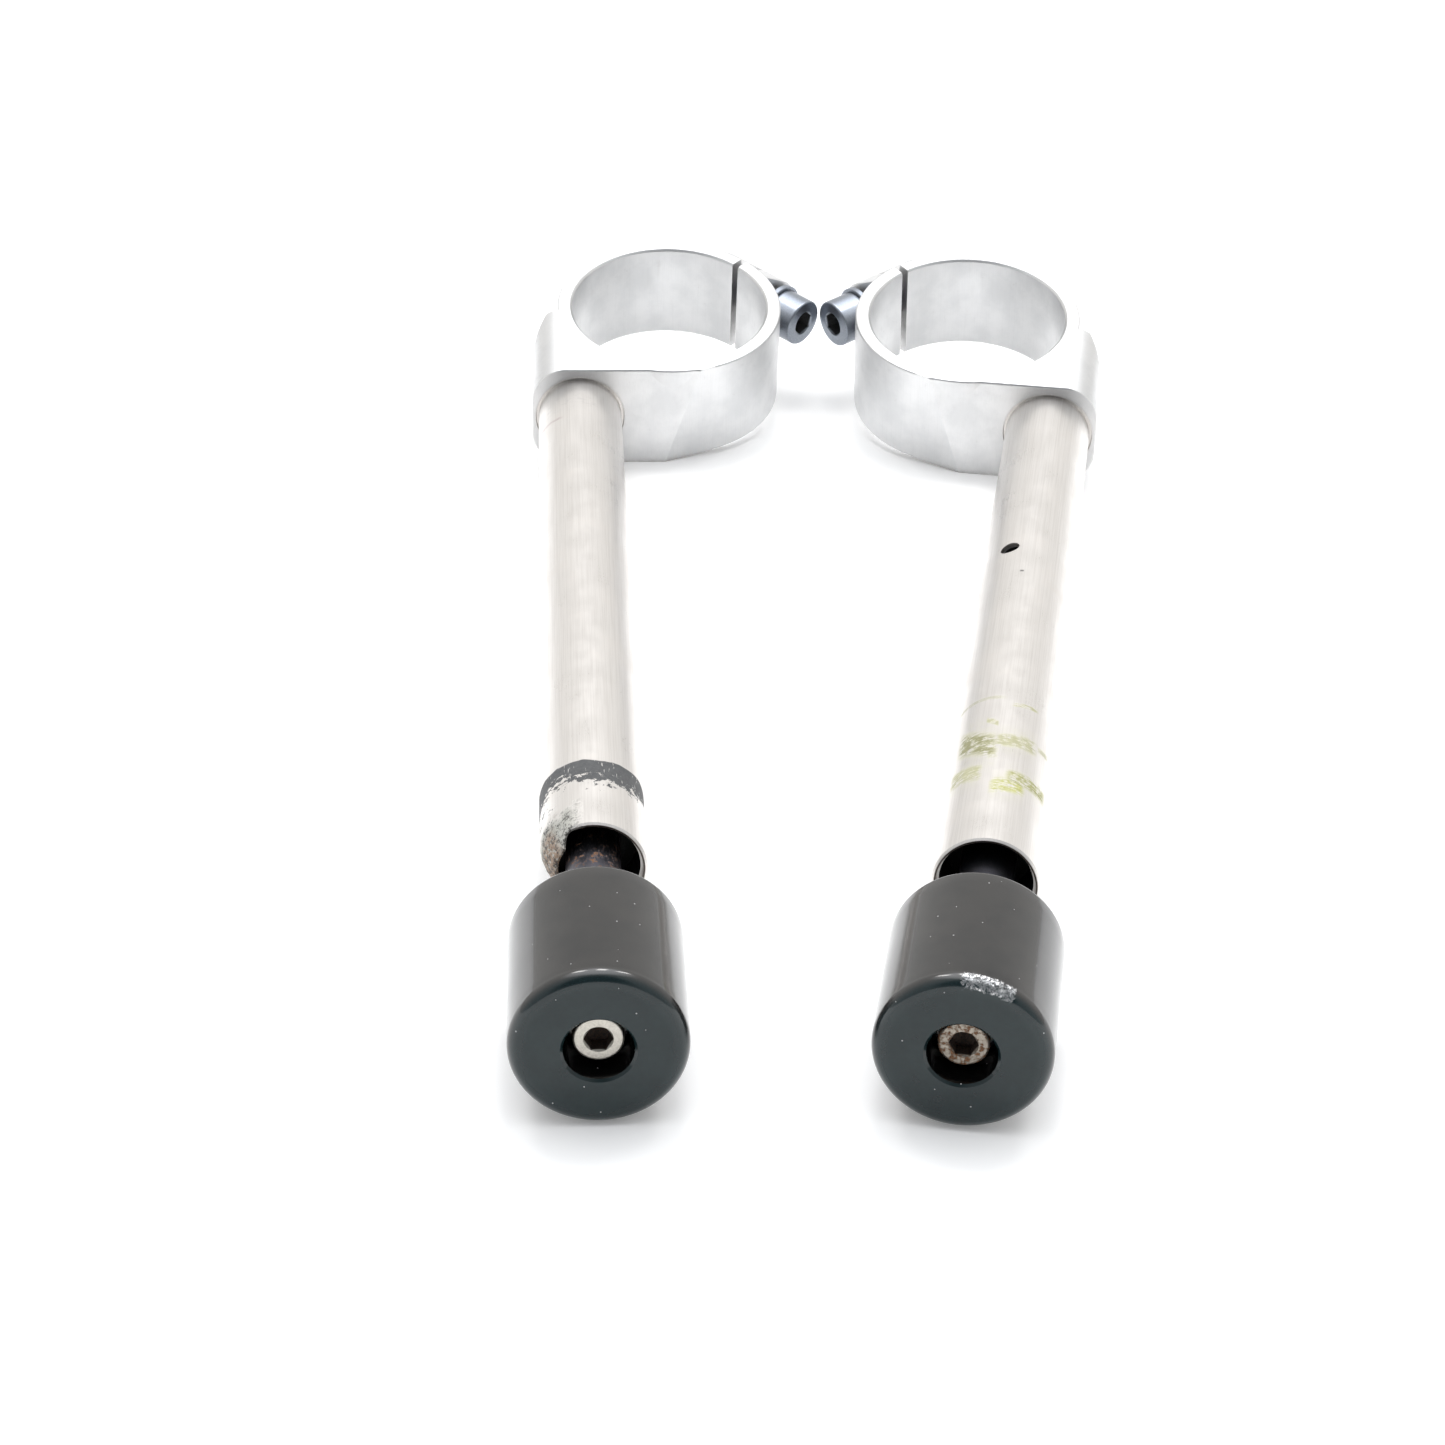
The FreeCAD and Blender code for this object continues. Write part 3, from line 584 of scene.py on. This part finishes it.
def lathe(name, space, outline, segments, shape=None):
    """A closed mesh turned from an outline of (radius, along) corners in a bar's frame.

    An edge stays sharp where the outline turns by more than SHARP_TURN degrees. The shape function may move
    a point, and gets its radius, its angle in degrees and its distance along the bar."""
    points, faces = [], []
    count = len(outline)
    for radius, along in outline:
        for step in range(segments):
            degrees = 360.0 * step / segments - 180.0
            r, z = shape(radius, degrees, along) if shape else (radius, along)
            turn = math.radians(degrees)
            points.append(space.point(r * math.sin(turn), r * math.cos(turn), z))
    for ring in range(count):
        start, after = ring * segments, (ring + 1) % count * segments
        for step in range(segments):
            beside = (step + 1) % segments
            corners = (start + step, start + beside, after + beside, after + step)
            faces.append(corners if space.mirror.x > 0 else corners[::-1])
    mesh = bpy.data.meshes.new(name)
    mesh.from_pydata(points, [], faces)
    mesh.shade_smooth()
    sharp = mesh.attributes.new("sharp_edge", "BOOLEAN", "EDGE")
    corner = [turn_at(outline, ring) > SHARP_TURN for ring in range(count)]
    flags = [a // segments == b // segments and corner[a // segments] for a, b in mesh.edge_keys]
    sharp.data.foreach_set("value", flags)
    turned = mesh.attributes.new("turned_radius", "FLOAT", "POINT")
    turned.data.foreach_set("value", [radius for radius, along in outline for step in range(segments)])
    mesh.validate()
    piece = bpy.data.objects.new(name, mesh)
    bpy.context.scene.collection.objects.link(piece)
    return piece


def turn_at(outline, index):
    """How far, in degrees, an outline turns at one of its points."""
    here = Vector(outline[index])
    before = here - Vector(outline[index - 1])
    after = Vector(outline[(index + 1) % len(outline)]) - here
    return math.degrees(before.angle(after, 0.0))


def stepped(start, end, spacing):
    """Points from one corner of an outline towards the next, without the last one."""
    steps = max(1, round(math.dist(start, end) / spacing))
    return [tuple(a + (b - a) * i / steps for a, b in zip(start, end)) for i in range(steps)]


def rounded(centre, radius, first, last, steps):
    """An arc of an outline, between two angles in degrees."""
    turns = [math.radians(first + (last - first) * i / steps) for i in range(steps + 1)]
    return [(centre[0] + radius * math.cos(t), centre[1] + radius * math.sin(t)) for t in turns]


def rumple(x, y, z, scale):
    """Smooth noise from -1 to 1, with finer noise on it."""
    place = Vector((x, y, z)) * scale
    return 0.7 * noise.noise(place) + 0.3 * noise.noise(place * 2.7)


def smooth(value, low, high):
    """A smooth step from 0 to 1."""
    t = min(1.0, max(0.0, (value - low) / (high - low)))
    return t * t * (3.0 - 2.0 * t)


def crushed_end(radius, degrees, along):
    """Where the outer side of the left tube's end has been ground and folded in towards the neck."""
    window = smooth(-degrees, 25.0, 54.0) * smooth(degrees, -158.0, -118.0)
    if along < -CRUSH_LENGTH - 2.0 or window == 0.0:
        return radius, along
    turn = math.radians(degrees)
    grit = rumple(math.sin(turn) * TUBE_R, math.cos(turn) * TUBE_R, along, 0.8)
    fold = max(0.0, 1.0 + along / CRUSH_LENGTH) ** 1.5
    outside = smooth(radius, MOUTH_STEP_R, TUBE_R - TUBE_CHAMFER)
    pitted = 0.22 * grit * window * smooth(along, -CRUSH_LENGTH - 2.0, -CRUSH_LENGTH + 3.0) * outside
    return radius - CRUSH_DEPTH * fold * window + pitted, along - 0.7 * window * abs(grit) * fold


def boss_face(side, radius, degrees):
    """How far along the bar the front face of the boss is, at a place around the bar."""
    bar, fork = BARS[side], CLAMPS[side]
    front = (bar.along - fork.along * bar.along.dot(fork.along)).normalized()
    top = fork.origin + (front * BOSS_FRONT_TOP + fork.along * CLAMP_HEIGHT / 2) * MM
    bottom = fork.origin + (front * BOSS_FRONT_BOTTOM - fork.along * CLAMP_HEIGHT / 2) * MM
    normal = (top - bottom).cross(front.cross(fork.along))
    turn = math.radians(degrees)
    foot = bar.point(radius * math.sin(turn), radius * math.cos(turn), 0.0) * bar.mirror
    return (top - foot).dot(normal) / bar.along.dot(normal) / MM


def worn_tube(side):
    """The bar tube, with its wear in the mesh at the end and a joint line where it enters the boss."""

    def shape(radius, degrees, along):
        if COLLAR_AT - 0.1 < along < COLLAR_AT + 0.1:
            return radius, boss_face(side, radius, degrees) - COLLAR_RECESS
        return crushed_end(radius, degrees, along) if side == "left" else (radius, along)

    spigot_end = SHOULDER_AT - SPIGOT_LENGTH
    chamfer = TUBE_CHAMFER
    outline = stepped((TUBE_BORE_R, spigot_end), (TUBE_BORE_R, -MOUTH_DEPTH), 9.0)
    outline += [(TUBE_BORE_R, -MOUTH_DEPTH), (MOUTH_R, -MOUTH_DEPTH)]
    outline += stepped((MOUTH_R, -12.0), (MOUTH_R, -MOUTH_STEP_DEPTH), 1.5)
    outline += [(MOUTH_R, -MOUTH_STEP_DEPTH), (MOUTH_STEP_R, -MOUTH_STEP_DEPTH)]
    outline += [(MOUTH_STEP_R, 0.0)]
    outline += stepped((TUBE_R - chamfer, 0.0), (TUBE_R, -chamfer), 0.2)
    outline += stepped((TUBE_R, -chamfer), (TUBE_R, -16.0), 0.25)
    outline += stepped((TUBE_R, -16.0), (TUBE_R, -40.0), 1.0)
    outline += stepped((TUBE_R, -40.0), (TUBE_R, COLLAR_AT), 6.0)
    outline += [(TUBE_R, COLLAR_AT), (COLLAR_R, COLLAR_AT), (COLLAR_R, SHOULDER_AT),
                (SPIGOT_R, SHOULDER_AT), (SPIGOT_R, spigot_end)]
    tube = lathe(side + "_worn_tube", BARS[side], outline, TUBE_SEGMENTS, shape)
    if side == "right":
        drill(tube, BARS[side])
    return tube


def drill(tube, bar):
    """The locating hole for a switch housing, through the top of the tube."""
    turn = math.radians(SWITCH_HOLE_TURN)
    out = (bar.inner * math.sin(turn) + bar.up * math.cos(turn)) * bar.mirror
    bpy.ops.mesh.primitive_cylinder_add(vertices=64, radius=SWITCH_HOLE_R * MM, depth=TUBE_R * MM)
    cutter = bpy.context.object
    cutter.rotation_euler = out.to_track_quat("Z", "Y").to_euler()
    cutter.location = bar.point(TUBE_R * math.sin(turn), TUBE_R * math.cos(turn), SWITCH_HOLE_AT)
    cut = tube.modifiers.new("switch_hole", "BOOLEAN")
    cut.object = cutter
    cut.solver = "EXACT"
    bpy.context.view_layer.update()
    drilled = bpy.data.meshes.new_from_object(tube.evaluated_get(bpy.context.evaluated_depsgraph_get()))
    tube.modifiers.clear()
    undrilled, tube.data = tube.data, drilled
    for leftover in (undrilled, cutter.data):
        bpy.data.meshes.remove(leftover)


def scraped_rim(front):
    """A shape for the right weight: dents along the top of its front rim."""

    def shape(radius, degrees, along):
        from_rim = math.hypot(radius - (WEIGHT_R - 0.7), along - (front - 0.7))
        if from_rim > 3.5:
            return radius, along
        turn = math.radians(degrees)
        grit = rumple(math.sin(turn) * WEIGHT_R, math.cos(turn) * WEIGHT_R, along, 0.9)
        depth = sum(d * math.exp(-((degrees - a) / w) ** 2) for a, w, d in SCRAPES)
        depth *= (0.45 + 0.9 * abs(grit)) * math.exp(-(from_rim / 1.9) ** 2)
        return radius - depth * 0.6, along - depth * 0.5

    return shape


def turned_weight(side):
    """The bar end weight, with finer facets than the CAD model's and the right one's dents."""
    rear = WEIGHT_GAP[side]
    front = rear + WEIGHT_LENGTH
    r, f, b, c = WEIGHT_R, WEIGHT_FRONT_FILLET, WEIGHT_REAR_FILLET, COUNTERBORE_CHAMFER
    outline = stepped((SCREW_CLEARANCE_R, rear), (r - b, rear), 3.0)
    outline += rounded((r - b, rear + b), b, -90.0, 0.0, 6)
    outline += stepped((r, rear + b + 3.0), (r, front - f), 2.5)
    outline += rounded((r - f, front - f), f, 0.0, 90.0, 16)
    outline += stepped((r - f - 0.7, front), (COUNTERBORE_R + c, front), 1.2)
    outline += [(COUNTERBORE_R + c, front), (COUNTERBORE_R, front - c)]
    outline += [(COUNTERBORE_R, front - COUNTERBORE_DEPTH), (SCREW_CLEARANCE_R, front - COUNTERBORE_DEPTH)]
    shape = scraped_rim(front) if side == "right" else None
    return lathe(side + "_turned_weight", BARS[side], outline, WEIGHT_SEGMENTS, shape)


def dress(piece, material):
    piece.data.materials.clear()
    piece.data.materials.append(material)


def stand_for(piece, node, body, material):
    """A new piece in place of a CAD node, on that node's body."""
    dress(piece, material)
    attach(piece, body)
    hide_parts(node)


# -------------------------------------------------------------------------------------------------- stage

def make_camera():
    heading = Matrix.Rotation(CAMERA_HEADING, 3, "Z")
    tilt = Matrix.Rotation(math.pi / 2 + CAMERA_PITCH, 3, "X")
    roll = Matrix.Rotation(CAMERA_ROLL, 3, "Z")
    data = bpy.data.cameras.new("camera")
    data.lens = CAMERA_LENS
    data.sensor_width = 36.0
    data.shift_y = CAMERA_SHIFT_Y
    camera = bpy.data.objects.new("camera", data)
    camera.matrix_world = Matrix.Translation(CAMERA_AT) @ (heading @ tilt @ roll).to_4x4()
    bpy.context.scene.collection.objects.link(camera)
    bpy.context.scene.camera = camera


def make_lamp(name, at):
    """A small soft lamp, aimed at the middle of the object."""
    data = bpy.data.lights.new(name, "AREA")
    data.shape = "RECTANGLE"
    data.size, data.size_y = LAMP_SIZE
    data.energy = LAMP_POWER
    data.color = LAMP_COLOUR
    lamp = bpy.data.objects.new(name, data)
    lamp.location = at
    lamp.rotation_euler = (-Vector(at)).to_track_quat("-Z", "Y").to_euler()
    bpy.context.scene.collection.objects.link(lamp)


def make_world():
    """A white sweep: brightest overhead and behind the object, and dark where the photographer stands."""
    world = bpy.data.worlds.new("sweep")
    bpy.context.scene.world = world
    world.use_nodes = True
    tree = world.node_tree
    towards = tree.nodes.new("ShaderNodeTexCoord").outputs["Generated"]

    def blend(factor, low, high):
        made = tree.nodes.new("ShaderNodeMix")
        made.data_type = "RGBA"
        for socket, value in ((0, factor), (6, low), (7, high)):
            if isinstance(value, bpy.types.NodeSocket):
                tree.links.new(value, made.inputs[socket])
            else:
                made.inputs[socket].default_value = value
        return made.outputs[2]

    def along(axis, start, end):
        """0 to 1 as a direction turns towards an axis, between two cosines."""
        dot = tree.nodes.new("ShaderNodeVectorMath")
        dot.operation = "DOT_PRODUCT"
        tree.links.new(towards, dot.inputs[0])
        dot.inputs[1].default_value = Vector(axis).normalized()
        step = tree.nodes.new("ShaderNodeMapRange")
        step.interpolation_type = "SMOOTHSTEP"
        tree.links.new(dot.outputs["Value"], step.inputs["Value"])
        step.inputs["From Min"].default_value = start
        step.inputs["From Max"].default_value = end
        return step.outputs[0]

    around = blend(along((0, 1, 0), -0.8, 0.4), SKY_FRONT, SKY_BACK)
    around = blend(along((0, 0.2, 1), 0.76, 0.97), around, SKY_TOP)
    around = blend(along(CAMERA_AT, 0.80, 0.96), around, SKY_PHOTOGRAPHER)
    tree.links.new(around, tree.nodes["Background"].inputs["Color"])


def make_floor():
    white = (1.0, 1.0, 1.0, 1.0)
    paint = Paint("floor_white", Roughness=0.7, Emission_Color=white, Emission_Strength=FLOOR_GLOW)
    there = paint.node("TexCoord", output=3)
    paint.colour(paint.mix(paint.noise(there, 4.0), grey(0.93), grey(0.95)))
    mesh = bpy.data.meshes.new("floor")
    reach = FLOOR_REACH
    corners = [(-reach, -reach, 0), (reach, -reach, 0), (reach, reach, 0), (-reach, reach, 0)]
    mesh.from_pydata(corners, [], [(0, 1, 2, 3)])
    floor = bpy.data.objects.new("floor", mesh)
    mesh.materials.append(paint.material)
    bpy.context.scene.collection.objects.link(floor)


def make_stage():
    scene = bpy.context.scene
    scene.view_settings.view_transform = "Standard"
    make_camera()
    make_world()
    make_floor()
    for name, across in LAMPS_ACROSS.items():
        make_lamp(name, (across, LAMP_BEHIND, LAMP_HEIGHT))


# ------------------------------------------------------------------------------------------------- pieces

def dress_node(side, name, *finish):
    """A carried-over CAD piece, in a steel of its own."""
    dress(NODES[side + "_" + name], steel(*finish))


def dress_side(side):
    bar, bolt = BARS[side], BOLTS[side]
    tube_material = left_bar_aluminium() if side == "left" else right_bar_aluminium()
    dress(NODES[side + "_fork_clamp"], clamp_aluminium(side))
    stand_for(worn_tube(side), side + "_bar_tube", side + "_clip_on", tube_material)
    stand_for(turned_weight(side), side + "_end_weight", side + "_bar_end",
              black_anodised(side))

    # The bolt's hex socket is painted near black inside, as shade.
    bolt_socket = (BOLT_SOCKET_R, BOLT_RIM, grey(0.05, -0.1))
    dress_node(side, "pinch_bolt", side + "_bolt_steel", ZINC, 0.04, 0.28, bolt, bolt_socket)
    dress_node(side, "pinch_washer", side + "_bolt_washer_steel", ZINC, 0.04, 0.3, bolt)

    rim = WEIGHT_GAP[side] + WEIGHT_LENGTH - SCREW_RIM_DEPTH
    # The screw's hex socket is painted dark brown inside, as shade.
    screw_socket = (SCREW_SOCKET_R, rim, SCREW_SOCKET_SHADE)
    dress_node(side, "weight_screw", side + "_screw_steel", SCREW_STEEL[side], SCREW_RUST[side], 0.34, bar,
               screw_socket)
    dress_node(side, "spacer", side + "_spacer_steel", SPACER_STEEL, SPACER_RUST[side], 0.3, bar)
    dress_node(side, "pressure_washer", side + "_blackened_steel", grey(0.03), 0.08, 0.5, bar)
    plain = steel(side + "_washer_steel", WASHER_STEEL, 0.1, 0.3, bar)
    for name in ("screw_washer", "expander_nut"):
        dress(NODES[side + "_" + name], plain)
    dress(NODES[side + "_expander_rubber"], rubber())


make_stage()
for one_side in SIDES:
    dress_side(one_side)
